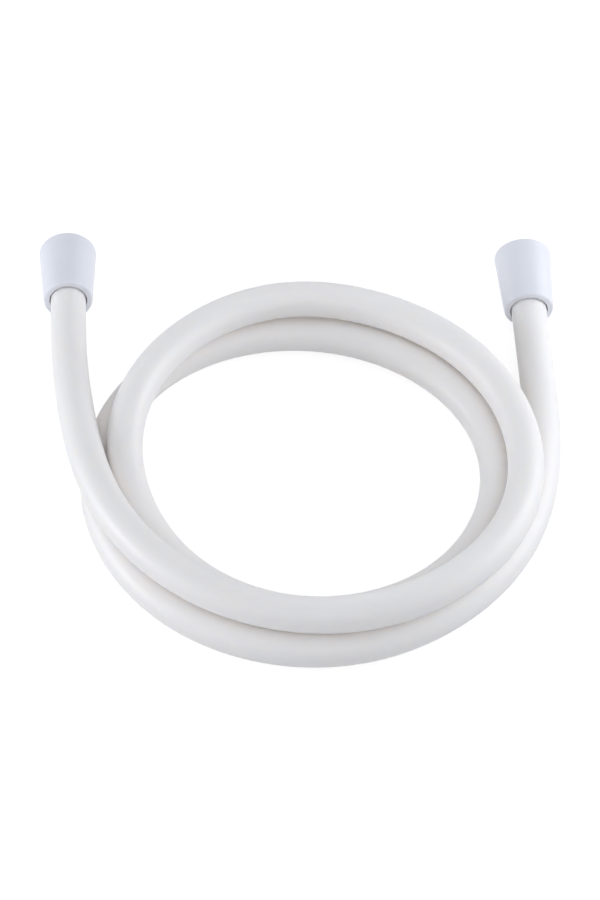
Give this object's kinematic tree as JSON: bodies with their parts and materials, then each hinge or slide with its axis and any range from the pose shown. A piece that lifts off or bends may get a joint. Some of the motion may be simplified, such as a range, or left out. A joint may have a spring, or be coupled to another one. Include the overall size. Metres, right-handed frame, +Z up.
{
  "type": "shower hose",
  "caption": "Smooth flexible shower hose lying in loose turns, with a conical threaded nut that turns freely on each end.",
  "frame": {"origin": "on the surface that the hose lies on, under the middle of the overall box", "axes": "+Z up; +Y the way the mouths of both nuts point, away from the turns; +X from the left nut to the right nut"},
  "size_m": [0.2202, 0.2279, 0.0319],
  "materials": {
    "hose_vinyl": "smooth satin-gloss white vinyl",
    "nut_plastic": "smooth cool white moulded plastic, satin gloss",
    "tail_brass": "turned brass, fine turning marks",
    "sleeve_steel": "thin pressed stainless steel",
    "washer_rubber": "matt black rubber"
  },
  "bodies": {
    "hose": {"hose": "hose_vinyl", "left_hose_tail": "tail_brass", "left_crimp_sleeve": "sleeve_steel", "left_washer": "washer_rubber", "right_hose_tail": "tail_brass", "right_crimp_sleeve": "sleeve_steel", "right_washer": "washer_rubber"},
    "left_nut": {"left_conical_nut": "nut_plastic"},
    "right_nut": {"right_conical_nut": "nut_plastic"}
  },
  "joints": [
    {"name": "left_nut_turn", "type": "hinge", "parent": "hose", "child": "left_nut", "pos_m": [-0.0966, 0.0827, 0.01409], "axis": [-0.0418, 0.9969, -0.0663], "continuous": true},
    {"name": "right_nut_turn", "type": "hinge", "parent": "hose", "child": "right_nut", "pos_m": [0.0993, 0.0806, 0.01038], "axis": [-0.0627, 0.9962, 0.06], "continuous": true}
  ]
}
